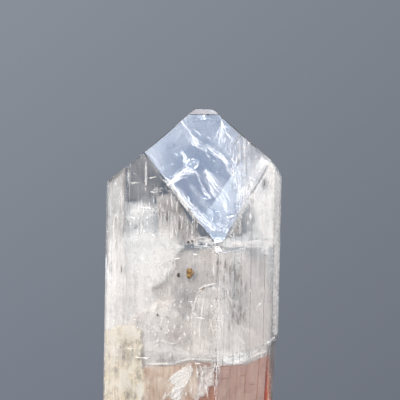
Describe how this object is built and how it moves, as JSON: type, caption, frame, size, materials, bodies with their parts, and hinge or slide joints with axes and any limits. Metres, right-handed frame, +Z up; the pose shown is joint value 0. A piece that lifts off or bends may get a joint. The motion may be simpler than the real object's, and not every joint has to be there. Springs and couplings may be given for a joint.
{
  "type": "danburite crystal",
  "caption": "Clear, terminated danburite crystal: a rhombic prism with striated sides, a steep front face, a roof-like tip and a flat broken root that it stands on.",
  "frame": {"origin": "under the middle of the crystal's box, on the flat break at its root", "axes": "+Z up along the prism, from root to tip; -Y towards the viewer, the side of the large front face; +X to the viewer's right"},
  "size_m": [0.025, 0.0246, 0.058],
  "materials": {
    "clear_danburite": "clear to milky crystal, vitreous lustre, striated prism faces"
  },
  "bodies": {
    "root": {"crystal": "clear_danburite"}
  },
  "joints": []
}
